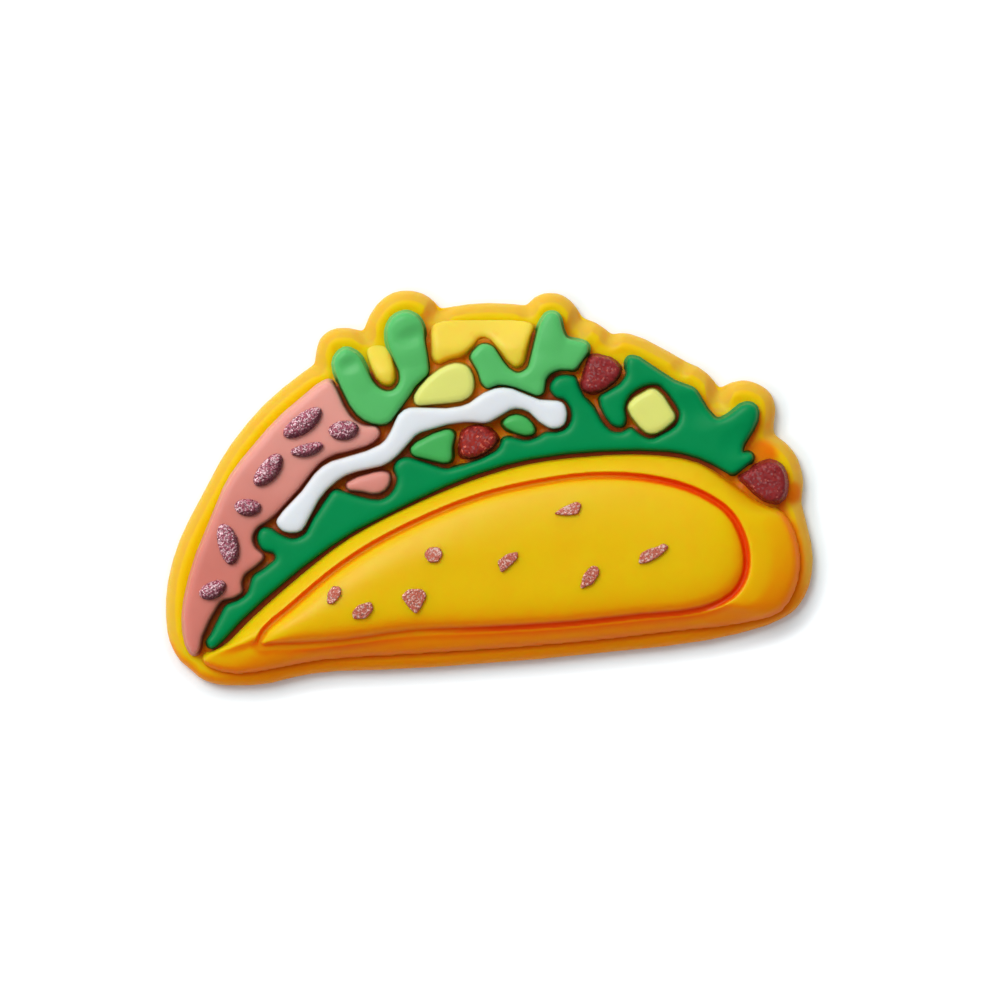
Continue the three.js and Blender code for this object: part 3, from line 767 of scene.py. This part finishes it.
class Shelter:
    """Maps of how closely the inlays stand round each place on the plate.

    One map counts the walls on all sides and the other those towards the light. They grade the
    painted shade: in valleys, beside one wall, and in pits, between two.
    """

    cell = 0.12
    rays = 12
    tilt = 0.3
    reach = 1.3
    blurs = 3
    start_below = 0.05
    start_above = 0.2
    beside = 0.15
    least = 1e-6
    last_cell = 1.001
    valley_shade_range = (0.12, 0.42)
    pit_shade_range = (0.4, 0.6)

    # Spots where the photo has no dark pits, no deeper colour, or a deeper one, so the painted
    # shade in pits is lightened, the painted shade in valleys left out, or darkened there: middle
    # and radius
    lighter_pit_spots = ((-1.5, 6.6, 5.5), (6.8, 7.1, 1.9), (16.4, 0.6, 3.2), (5.5, 8.0, 2.0))
    clear = ((-7.0, 8.3, 1.5), (-0.3, 10.0, 1.2), (-2.0, 9.9, 1.2), (1.6, 9.9, 1.2))
    deeper_shade_spots = ((16.4, 2.0, 1.3), (18.3, -0.3, 0.9))
    pit_lightening = 0.8
    deeper_shade = 0.9
    spot_core = 0.5

    def __init__(self) -> None:
        """Measures the maps with rays that are cast from the open parts of the plate."""
        walls = self.walls()
        low, high = (Vector(corner) * PER_MM for corner in CAD_BOX)
        self.low = np.array(low.xy)
        counts = [math.ceil(high[k] / self.cell - low[k] / self.cell) + 2 for k in (0, 1)]
        turns = [2 * math.pi * i / self.rays for i in range(self.rays)]
        rays = [Vector((math.cos(t), math.sin(t), self.tilt)).normalized() for t in turns]
        weights = [1 - ray.dot(Vector(AWAY_FROM_LIGHT)) for ray in rays]
        closed = np.zeros(counts)
        shaded = np.zeros(counts)
        bare = np.zeros(counts)
        for i, j in np.ndindex(*counts):
            place = self.low + self.cell * np.array((i, j))
            spot = Vector((*place, PLATE_TOP - self.start_below))
            if walls.ray_cast(spot, Vector((0, 0, 1)))[0] is None:
                spot.z = PLATE_TOP + self.start_above
                for ray, weight in zip(rays, weights):
                    found = walls.ray_cast(spot, ray, self.reach)[3]
                    if found is not None:
                        closed[i, j] += (1 - found / self.reach) / self.rays
                        shaded[i, j] += weight * (1 - found / self.reach) / self.rays
                bare[i, j] = 1
        for _ in range(self.blurs):
            closed, shaded, bare = (self.blurred(grid) for grid in (closed, shaded, bare))
        self.closed = closed / np.maximum(bare, self.least)
        self.shaded = shaded / np.maximum(bare, self.least)

    @staticmethod
    def walls() -> BVHTree:
        """All solids but the plate, as a tree."""
        bm = bmesh.new()
        for name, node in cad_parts.items():
            if name != "backing_plate":
                bm.from_mesh(node.data)
        bmesh.ops.scale(bm, vec=Vector((PER_MM,) * 3), verts=bm.verts)
        return tree_of(bm)

    @staticmethod
    def blurred(grid: np.ndarray) -> np.ndarray:
        """Each cell averaged with its neighbours."""
        for axis in (0, 1):
            grid = grid / 2 + (np.roll(grid, 1, axis) + np.roll(grid, -1, axis)) / 4
        return grid

    def at(self, grid: np.ndarray, places: np.ndarray) -> np.ndarray:
        """The grade of a map at each place, 0 in the open, and about 0.5 in a narrow groove.

        Args:
            grid: One of the two maps.
            places: A row of x and y in millimetres for each place.

        Returns:
            The grades.
        """
        spot = (places - self.low) / self.cell
        spot = np.clip(spot, 0, np.array(grid.shape) - self.last_cell)
        i, j = spot.astype(int).T
        u, v = (spot - np.floor(spot)).T
        left = grid[i, j] * (1 - v) + grid[i, j + 1] * v
        right = grid[i + 1, j] * (1 - v) + grid[i + 1, j + 1] * v
        return left * (1 - u) + right * u

    @classmethod
    def near(
        cls, places: np.ndarray, spots: Sequence[tuple[float, float, float]]
    ) -> np.ndarray:
        """How close each place is to the nearest of some spots.

        Args:
            places: A row of x and y in millimetres for each place.
            spots: The middle and the radius of each spot.

        Returns:
            The grades, 1 in the middle of a spot and 0 outside it.
        """
        grade = np.zeros(len(places))
        for x, y, radius in spots:
            away = np.linalg.norm(places - (np.array((x, y)) + CENTRING), axis=1)
            grade = np.maximum(grade, 1 - smooth_step(radius * cls.spot_core, radius, away))
        return grade

    def shade(self, clay: "Clay", share: np.ndarray, own: np.ndarray | float = 0.0) -> None:
        """Paints shade on a piece, in darker colours where it lies low and close to others.

        Args:
            clay: The piece.
            share: How low each corner lies, 0 to 1.
            own: How much painted shade each corner takes in a groove of the piece itself.
        """
        beside = clay.points()[:, :2] + clay.normals()[:, :2] * self.beside
        closed, shaded = self.at(self.closed, beside), self.at(self.shaded, beside)
        open_share = share * (1 - self.near(beside, self.clear))
        deeper_shade = self.deeper_shade * self.near(beside, self.deeper_shade_spots)
        valley = np.maximum(smooth_step(*self.valley_shade_range, shaded), deeper_shade) * open_share
        pit_lightening = self.pit_lightening * self.near(beside, self.lighter_pit_spots)
        # Painted shade in valleys, and in pits between parts.
        clay.paint("valley", np.maximum(valley, own))
        clay.paint("pit_shade", smooth_step(*self.pit_shade_range, closed) * open_share * (1 - pit_lightening))


# The pieces of the charm


@dataclass
class Backing:
    """The scalloped plate that carries everything else."""

    voxel: float = 0.13
    softness: int = 3
    foot: Range = (0.25, 0.35)
    upper: Range = (0.5, 1.2)
    wall: float = 0.4
    steepest: float = 0.3
    dip: float = 0.08
    dip_from_edge: Range = (0.75, 1.3)
    raised: float = 0.45
    raised_where: Range = (0.42, 0.58)
    creases: Sequence[Crease] = (
        Crease(-10.45, 7.45, -30.0, depth=0.2),
        Crease(-7.5, 9.45, -60.0, depth=0.3),
        Crease(-2.9, 10.8, -115.0, 1.5, 0.9, 0.6),
        Crease(2.3, 11.0, -80.0, depth=0.2),
        Crease(5.7, 10.25, -115.0, 1.5, 0.9, 0.5),
        Crease(7.45, 9.25, -110.0),
        Crease(11.9, 7.6, -125.0),
        Crease(13.9, 6.0, -95.0, 1.5, 0.9, 0.5),
        Crease(17.2, 3.25, 175.0, depth=0.12),
        Crease(18.85, -0.85, 180.0, depth=0.1),
    )

    def build(self, shelter: Shelter) -> bpy.types.Object:
        """Makes the plate.

        Args:
            shelter: Where the inlays stand close.

        Returns:
            The plate.
        """
        clay = Clay.of_node("backing_plate", "backing")
        clay.remesh(self.voxel)
        clay.relax(self.softness, smooth_step(*self.foot, clay.heights()))
        points = clay.points()
        upper = smooth_step(*self.upper, points[:, 2])
        inwards = self.from_edge(points)
        points[:, 2] -= self.dip * smooth_step(*self.dip_from_edge, inwards) * upper
        closed = smooth_step(*self.raised_where, shelter.at(shelter.closed, points[:, :2]))
        closed *= 1 - shelter.near(points[:, :2], shelter.clear)
        points[:, 2] += (self.raised + self.dip) * closed * upper
        for crease in self.creases:
            points[:, 2] -= crease.drop(points) * upper
        clay.move_to(points)
        # Painted shade on the plate beside and between the inlays.
        shelter.shade(clay, upper)
        return clay.piece(Finish.GROUND, "backing_plate")

    def from_edge(self, points: np.ndarray) -> np.ndarray:
        """How far each point lies from the plate's outline, seen from above, in millimetres."""
        bm = solid("backing_plate")
        bm.normal_update()
        level = [f for f in bm.faces if abs(f.normal.z) > self.steepest]
        bmesh.ops.delete(bm, geom=level, context="FACES")
        return distances(tree_of(bm), points, self.wall)


@dataclass(frozen=True)
class Flake:
    """A toasted flake that lies on the panel of the shell, by the corners of its outline."""

    outline: Sequence[Point]
    height: float = 0.26
    root: float = 0.1
    rounding: float = 0.12
    rounding_steps: int = 3
    voxel: float = 0.04
    softness: int = 8
    grain: float = 0.1
    rough: float = 0.03
    margin: float = 0.22
    ray_start: float = 10.0

    def circle(self) -> tuple[np.ndarray, float]:
        """A circle round the flake, as its middle and its radius."""
        corners = np.array(self.outline) + CENTRING
        middle = corners.mean(0)
        return middle, float(np.linalg.norm(corners - middle, axis=1).max()) + self.margin

    def build(self, number: int, ground: BVHTree) -> bpy.types.Object:
        """Makes the flake.

        Args:
            number: Its number.
            ground: The shell that it lies on.

        Returns:
            The flake.
        """
        bm = bmesh.new()
        corners = [bm.verts.new((*point, 0.0)) for point in np.array(self.outline) + CENTRING]
        bottom = bm.faces.new(corners)
        grown = bmesh.ops.extrude_face_region(bm, geom=[bottom])["geom"]
        raised = [g for g in grown if isinstance(g, bmesh.types.BMVert)]
        bmesh.ops.translate(bm, vec=Vector((0, 0, self.height + self.root)), verts=raised)
        bmesh.ops.recalc_face_normals(bm, faces=bm.faces)
        upright = [e for e in bm.edges if abs(e.verts[0].co.z - e.verts[1].co.z) > self.root]
        bmesh.ops.bevel(
            bm, geom=upright, offset=self.rounding, segments=self.rounding_steps, profile=0.5,
            affect="EDGES", material=-1, clamp_overlap=True,
        )
        clay = Clay(f"flake_{number}", bm)
        clay.remesh(self.voxel)
        clay.relax(self.softness)
        points = clay.points()
        for point in points:
            above = Vector((point[0], point[1], self.ray_start))
            hit = ground.ray_cast(above, Vector((0, 0, -1)))[0]
            point[2] += hit.z - self.root
        clay.move_to(points)
        clay.roughen(self.grain, self.rough)
        return clay.piece(Finish.ROSE_GLITTER, "shell_front")


FLAKES = tuple(
    Flake(outline)
    for outline in (
        ((3.9, -1.55), (4.6, -1.1), (5.35, -0.8), (5.6, -1.0), (5.4, -1.55), (4.7, -1.65)),
        (
            (-3.85, -3.95), (-3.5, -3.55), (-2.9, -3.55), (-2.7, -3.95), (-3.0, -4.45),
            (-3.55, -4.45),
        ),
        ((0.55, -4.4), (1.15, -3.95), (1.8, -3.8), (1.75, -4.25), (1.2, -4.75), (0.8, -5.1)),
        ((5.5, -6.05), (5.7, -5.2), (6.2, -4.65), (6.6, -4.7), (6.65, -5.15), (6.25, -5.75)),
        (
            (9.0, -4.55), (9.1, -3.95), (9.6, -3.65), (10.1, -3.55), (10.5, -3.3), (10.85, -3.5),
            (10.3, -4.05), (9.6, -4.45),
        ),
        ((-9.65, -6.9), (-9.6, -6.3), (-9.25, -5.85), (-8.8, -5.95), (-8.8, -6.4), (-9.25, -6.95)),
        ((-8.15, -7.45), (-7.75, -7.0), (-7.0, -6.8), (-6.85, -7.25), (-7.3, -7.8), (-8.05, -7.85)),
        (
            (-5.2, -6.5), (-4.75, -6.05), (-3.95, -6.05), (-3.65, -6.4), (-4.0, -7.1),
            (-4.3, -7.55), (-4.7, -7.2),
        ),
    )
)


@dataclass
class ShellFront:
    """The folded shell: a sloping lip, a groove and a domed panel."""

    voxel: float = 0.1
    first_softness: int = 3
    softness: int = 24
    above_foot: Range = (PLATE_TOP, PLATE_TOP + 0.2)
    upper_side: Range = (SHELL_GROOVE - 0.3, SHELL_GROOVE - 0.1)
    # How the foot runs out, and the painted shade low on walls turned from the light
    foot_spread: float = 0.16
    foot_rise: float = 0.7
    foot_shade: float = 0.4
    foot_top: Range = (PLATE_TOP + 0.3, PLATE_TOP + 1.0)
    foot_away: Range = (-0.5, 0.3)

    # Round the groove: what stays sharp, and what takes the painted shade, more of it on the side
    # away from the light
    hollow_depth: float = 0.1
    sharp_rounds: int = 20
    sharp_reach: Range = (0.1, 0.35)
    sharpness: float = 0.9
    hollow_rounds: int = 30
    hollow_reach: Range = (0.2, 0.45)
    floor_reach: Range = (0.02, 0.22)
    floor_error: float = 0.01
    groove_shade_lit: float = 0.45
    groove_shade_away: float = 0.5
    shaded_range: Range = (-2.0, 2.5)
    middle: Point = (2.0, -4.5)

    # The lip's crest, below a line along the lower stretch of the groove, where painted shade is
    # laid
    front_level: float = -8.35
    front_slope: float = 0.0717
    front_range: Range = (-0.5, 0.1)
    crest_reach: Range = (0.2, 0.6)
    crest_shade: float = 0.5

    # The panel, and how it is evened out where the flakes were
    panel_foot: float = SHELL_GROOVE + 0.35
    heal_start: int = 12
    heal_rounds: int = 300
    panel_rounds: int = 60

    def build(self, shelter: Shelter) -> Clay:
        """Makes the shell.

        Args:
            shelter: Where the inlays stand close.

        Returns:
            The shell as clay, which the flakes are set on.
        """
        clay = Clay.of_node("shell_front", "shell")
        clay.remesh(self.voxel)
        above = smooth_step(*self.above_foot, clay.heights())
        from_floor = self.from_floor(clay.points())
        clay.relax(self.first_softness, above)
        near_floor = 1 - smooth_step(*self.sharp_reach, from_floor)
        sharp = np.maximum(clay.hollowness(self.sharp_rounds, self.hollow_depth), near_floor)
        sharp *= smooth_step(*self.upper_side, clay.heights())
        clay.relax(self.softness, above * (1 - self.sharpness * sharp))
        self.even_out(clay)
        groove = self.groove(clay, from_floor)
        clay.flare(self.foot_spread, self.foot_rise)
        # Painted shade at the foot of the walls turned from the light, and in the groove.
        low = 1 - smooth_step(*self.foot_top, clay.heights())
        away = smooth_step(*self.foot_away, clay.normals() @ np.array(AWAY_FROM_LIGHT))
        shelter.shade(clay, low * away * self.foot_shade, groove)
        return clay

    def from_floor(self, points: np.ndarray) -> np.ndarray:
        """How far each point lies beside the groove's floor, seen from above, in millimetres."""
        bm = solid("shell_front")
        stray = {v: abs(v.co.z - SHELL_GROOVE) >= self.floor_error for v in bm.verts}
        other = [f for f in bm.faces if any(stray[v] for v in f.verts)]
        bmesh.ops.delete(bm, geom=other, context="FACES")
        return distances(tree_of(bm), points, SHELL_GROOVE)

    def groove(self, clay: Clay, from_floor: np.ndarray) -> np.ndarray:
        """How much painted shade each corner takes in the groove round the panel, or on the lip
        just below it.

        Args:
            clay: The shell.
            from_floor: How far each corner lies beside the floor of the groove.

        Returns:
            The grades, 0 to 1.
        """
        points = clay.points()
        hollow = clay.hollowness(self.hollow_rounds, self.hollow_depth)
        hollow *= 1 - smooth_step(*self.hollow_reach, from_floor)
        floor = 1 - smooth_step(*self.floor_reach, from_floor)
        groove = np.maximum(hollow, floor) * smooth_step(*self.upper_side, points[:, 2])
        groove *= self.groove_shade_lit + self.groove_shade_away * self.shaded_end(points)
        line = self.front_level + self.front_slope * points[:, 0]
        below = smooth_step(*self.front_range, line - points[:, 1]) * (1 - self.panel_of(clay))
        crest = self.crest_shade * below * (1 - smooth_step(*self.crest_reach, from_floor))
        return np.maximum(groove, crest)

    def shaded_end(self, points: np.ndarray) -> np.ndarray:
        """0 on the side of the panel that is towards the light and 1 on the other side."""
        offset = points[:, :2] - (np.array(self.middle) + CENTRING)
        return smooth_step(*self.shaded_range, offset @ np.array(AWAY_FROM_LIGHT[:2]))

    def even_out(self, clay: Clay) -> None:
        """Takes the facets and the flakes out of the panel, so that it is one smooth dome.

        Args:
            clay: The shell, whose panel is changed.
        """
        panel = self.panel_of(clay)
        places = clay.points()[:, :2]
        near = np.zeros(len(places))
        for flake in FLAKES:
            middle, reach = flake.circle()
            near[np.linalg.norm(places - middle, axis=1) < reach] = 1
        clay.relax(self.heal_start, near * panel)
        clay.relax(self.heal_rounds, near * panel, upright=True)
        clay.relax(self.panel_rounds, panel, upright=True)

    def panel_of(self, clay: Clay) -> np.ndarray:
        """The corners inside the groove, found outwards from the crest.

        Args:
            clay: The shell.

        Returns:
            1 for each corner of the panel and 0 for the others.
        """
        bm = bmesh.new()
        bm.from_mesh(clay.obj.data)
        bm.verts.ensure_lookup_table()
        crest = max(bm.verts, key=lambda v: v.co.z)
        found = {crest.index}
        edge = [crest]
        while edge:
            corner = edge.pop()
            for side in corner.link_edges:
                other = side.other_vert(corner)
                if other.index not in found and other.co.z > self.panel_foot:
                    found.add(other.index)
                    edge.append(other)
        panel = np.zeros(len(bm.verts))
        panel[list(found)] = 1
        bm.free()
        return panel


@dataclass
class Inlay:
    """A low coloured piece on the plate, with rounded shoulders."""

    node: str
    finish: Finish
    swells: Sequence[Swell] = ()
    voxel: float = 0.08
    first_softness: int = 2
    softness: int = 14
    spread: float = 0.19
    growth: float = 0.04
    foot_rise: float = 0.9
    grain: float = 0.0
    rough: float = 0.0
    stretch: float = 1.0

    # Where the wall sets in above the bottom, and the shoulder and the painted shade below the top
    wall = 0.15
    shoulder = (0.4, 0.2)
    shaded = (0.8, 0.25)

    def build(self, shelter: Shelter) -> bpy.types.Object:
        """Makes the inlay.

        Args:
            shelter: Where the inlays stand close.

        Returns:
            The inlay.
        """
        clay = Clay.of_node(self.node, self.node + "_inlay")
        clay.remesh(self.voxel)
        bottom, top = clay.heights().min(), clay.heights().max()
        clay.relax(self.first_softness, smooth_step(bottom, bottom + self.wall, clay.heights()))
        from_top = clay.heights() - top
        shoulder = smooth_step(-self.shoulder[0], -self.shoulder[1], from_top)
        clay.relax(self.softness, shoulder, upright=True)
        points = clay.points()
        level = np.clip((points[:, 2] - bottom) / (top - bottom), 0, 1)
        points[:, 2] = bottom + (points[:, 2] - bottom) * self.stretch
        for swell in self.swells:
            points[:, 2] += swell.lift(points) * level
        clay.move_to(points)
        if self.rough:
            clay.roughen(self.grain, self.rough)
        else:
            clay.flare(self.spread, self.foot_rise, self.growth)
        # Painted shade on the lower walls, beside the other parts.
        low = 1 - smooth_step(-self.shaded[0], -self.shaded[1], clay.heights() - top)
        shelter.shade(clay, low * (not self.rough))
        return clay.piece(self.finish, self.node)


@dataclass
class Studio:
    """The floor, the light and the camera."""

    view_width: float = 60.0
    lens: float = 400.0
    sensor: float = 36.0
    look_at: Vector = field(default_factory=lambda: Vector((0.635, -0.719, 2.2)))
    key_from: Vector = field(default_factory=lambda: Vector(TOWARDS_LIGHT))
    key_distance: float = 2000.0
    key_size: float = 1048.0
    key_power: float = 27.2
    sky_level: float = 0.64
    sky_behind: float = 0.2
    sky_edge: float = 0.1
    sky_colour: Rgb = (0.93, 0.97, 1.0)
    floor_half: float = 1500.0
    near_half: float = 24.0
    floor_step: float = 0.25
    floor_colour: Rgb = (0.92, 0.98, 1.0)
    floor_roughness: float = 0.9
    shadow_glow: Rgb = (0.04, 0.04, 0.04)
    clear_glow: Rgb = (0.3, 0.3, 0.3)
    shadow_shift: float = 0.4
    shadow_from: float = 0.3
    shadow_to: float = 1.2

    def build(self) -> None:
        """Sets up the floor, the light and the camera."""
        self.lay_floor()
        self.light()
        self.aim()

    def lay_floor(self) -> None:
        """Lays the white floor, whose painted glow makes it brighter beyond the soft shadow, kept
        low in a band round the charm shifted away from the light.
        """
        lines = np.arange(-self.near_half, self.near_half, self.floor_step)
        lines = np.concatenate(([-self.floor_half], lines, [self.floor_half]))
        places = np.array([(x, y, 0.0) for y in lines for x in lines])
        count = len(lines)
        starts = [j * count + i for j in range(count - 1) for i in range(count - 1)]
        quads = [(s, s + 1, s + count + 1, s + count) for s in starts]
        mesh = bpy.data.meshes.new("floor")
        mesh.from_pydata((places * MM).tolist(), [], quads)
        # Painted glow: low near the charm on its shaded side and full beyond.
        shift = np.array((*AWAY_FROM_LIGHT[:2], 0.0)) * self.shadow_shift
        clear = smooth_step(self.shadow_from, self.shadow_to, Backing().from_edge(places - shift))
        layer = mesh.attributes.new("clear", "FLOAT", "POINT")
        layer.data.foreach_set("value", clear.astype(np.float32))
        floor = put("floor", mesh)
        board = Board("white floor")
        glow = board.blend(board.attribute("clear"), self.shadow_glow, self.clear_glow)
        mesh.materials.append(
            board.finish(
                {
                    "Base Color": (*self.floor_colour, 1),
                    "Roughness": self.floor_roughness,
                    "Specular IOR Level": 0.0,
                    "Emission Color": glow,
                    "Emission Strength": 1.0,
                }
            )
        )

    def light(self) -> None:
        """Hangs the large soft light and sets the pale surroundings."""
        aim = self.key_from.normalized()
        lamp = bpy.data.lights.new("key", "AREA")
        lamp.shape = "SQUARE"
        lamp.size = self.key_size * MM
        lamp.energy = self.key_power
        key = put("key", lamp)
        key.location = aim * self.key_distance * MM
        key.rotation_euler = aim.to_track_quat("Z", "Y").to_euler()
        world = bpy.data.worlds.new("studio")
        world.use_nodes = True
        tree = world.node_tree
        towards = tree.nodes.new("ShaderNodeTexCoord").outputs["Generated"]
        side = tree.nodes.new("ShaderNodeVectorMath")
        side.operation = "DOT_PRODUCT"
        ramp = tree.nodes.new("ShaderNodeMapRange")
        ramp.interpolation_type = "SMOOTHSTEP"
        sky = tree.nodes["Background"]
        for node, name, value in (
            (side, 1, aim),
            (ramp, "From Min", self.sky_edge),
            (ramp, "To Min", self.sky_behind),
            (ramp, "To Max", self.sky_level),
            (sky, "Color", (*self.sky_colour, 1.0)),
        ):
            node.inputs[name].default_value = value
        tree.links.new(towards, side.inputs[0])
        tree.links.new(side.outputs["Value"], ramp.inputs["Value"])
        tree.links.new(ramp.outputs["Result"], sky.inputs["Strength"])
        bpy.context.scene.world = world

    def aim(self) -> None:
        """Places the camera straight above the charm."""
        camera = bpy.data.cameras.new("camera")
        camera.lens = self.lens
        camera.sensor_width = self.sensor
        holder = put("camera", camera)
        distance = self.view_width * self.lens / self.sensor
        holder.location = (self.look_at + Vector((0, 0, distance))) * MM
        bpy.context.scene.camera = holder
        bpy.context.scene.view_settings.view_transform = "Standard"


def inlays() -> Iterable[Inlay]:
    """The inlays of the charm.

    Returns:
        The inlays, with their finish and relief.
    """
    yield Inlay("filling", Finish.PINK)
    yield Inlay("filling_chunk", Finish.PINK)
    yield Inlay(
        "lettuce_dark",
        Finish.DARK_GREEN,
        (
            Swell(12.54, 4.68, 3.4, 2.6, -30.0, -0.14),
            Swell(15.18, 2.76, 3.2, 2.4, 20.0, -0.12),
            Swell(15.5, 4.6, 2.6, 2.0, 50.0, 0.1),
            Swell(9.0, 5.4, 3.0, 2.2, -30.0, 0.08),
        ),
    )
    yield Inlay(
        "lettuce_light_left",
        Finish.LIGHT_GREEN,
        (
            Swell(-4.98, 9.9, 2.4, 2.2, 0.0, 0.1),
            Swell(-4.5, 9.1, 2.4, 1.6, 20.0, -0.14),
            Swell(-4.8, 8.1, 2.6, 2.0, 0.0, 0.08),
            Swell(-8.7, 8.1, 2.0, 1.8, -40.0, 0.08),
            Swell(-8.2, 7.4, 2.0, 1.3, 20.0, -0.1),
            Swell(-7.8, 6.6, 2.4, 1.8, -50.0, 0.08),
            Swell(-5.0, 6.1, 3.0, 2.0, 60.0, 0.08),
        ),
    )
    yield Inlay(
        "lettuce_light_right",
        Finish.LIGHT_GREEN,
        (Swell(3.9, 9.0, 2.6, 1.8, 80.0, 0.08), Swell(3.2, 7.3, 3.0, 1.8, 30.0, 0.06)),
    )
    yield Inlay(
        "cheese_wide", Finish.CHEESE, (Swell(-0.25, 10.6, 13.0, 5.0, 0.0, -0.85),), softness=36
    )
    yield Inlay(
        "cheese_tongue", Finish.CHEESE, (Swell(-6.7, 9.2, 5.0, 5.0, 0.0, -1.05),), softness=36
    )
    yield Inlay("cream", Finish.WHITE, spread=0.1)
    yield Inlay("yellow_chunk_1", Finish.PALE_YELLOW)
    yield Inlay("yellow_chunk_2", Finish.PALE_YELLOW)
    yield Inlay("green_chunk_1", Finish.MID_GREEN)
    yield Inlay("green_chunk_2", Finish.MID_GREEN)
    yield Inlay("tomato_1", Finish.RED_GLITTER)
    yield Inlay("tomato_2", Finish.TOMATO)
    yield Inlay("tomato_3", Finish.TOMATO)
    for i in range(1, 8):
        yield Inlay(
            f"bean_{i}", Finish.MAROON_GLITTER, voxel=0.045, softness=90, grain=0.11, rough=0.035,
            stretch=1.7,
        )


def main() -> None:
    """Builds the charm and its studio, and reports each piece."""
    logging.basicConfig(level=logging.INFO, format="%(relativeCreated)d %(name)s: %(message)s")
    Studio().build()
    shelter = Shelter()
    log.info("shelter measured, %.2f at most", shelter.closed.max())
    Backing().build(shelter)
    shell = ShellFront().build(shelter)
    ground = shell.surface()
    shell.piece(Finish.YELLOW, "shell_front")
    for number, flake in enumerate(FLAKES, 1):
        flake.build(number, ground)
    for inlay in inlays():
        inlay.build(shelter)


if __name__ == "__main__":
    main()
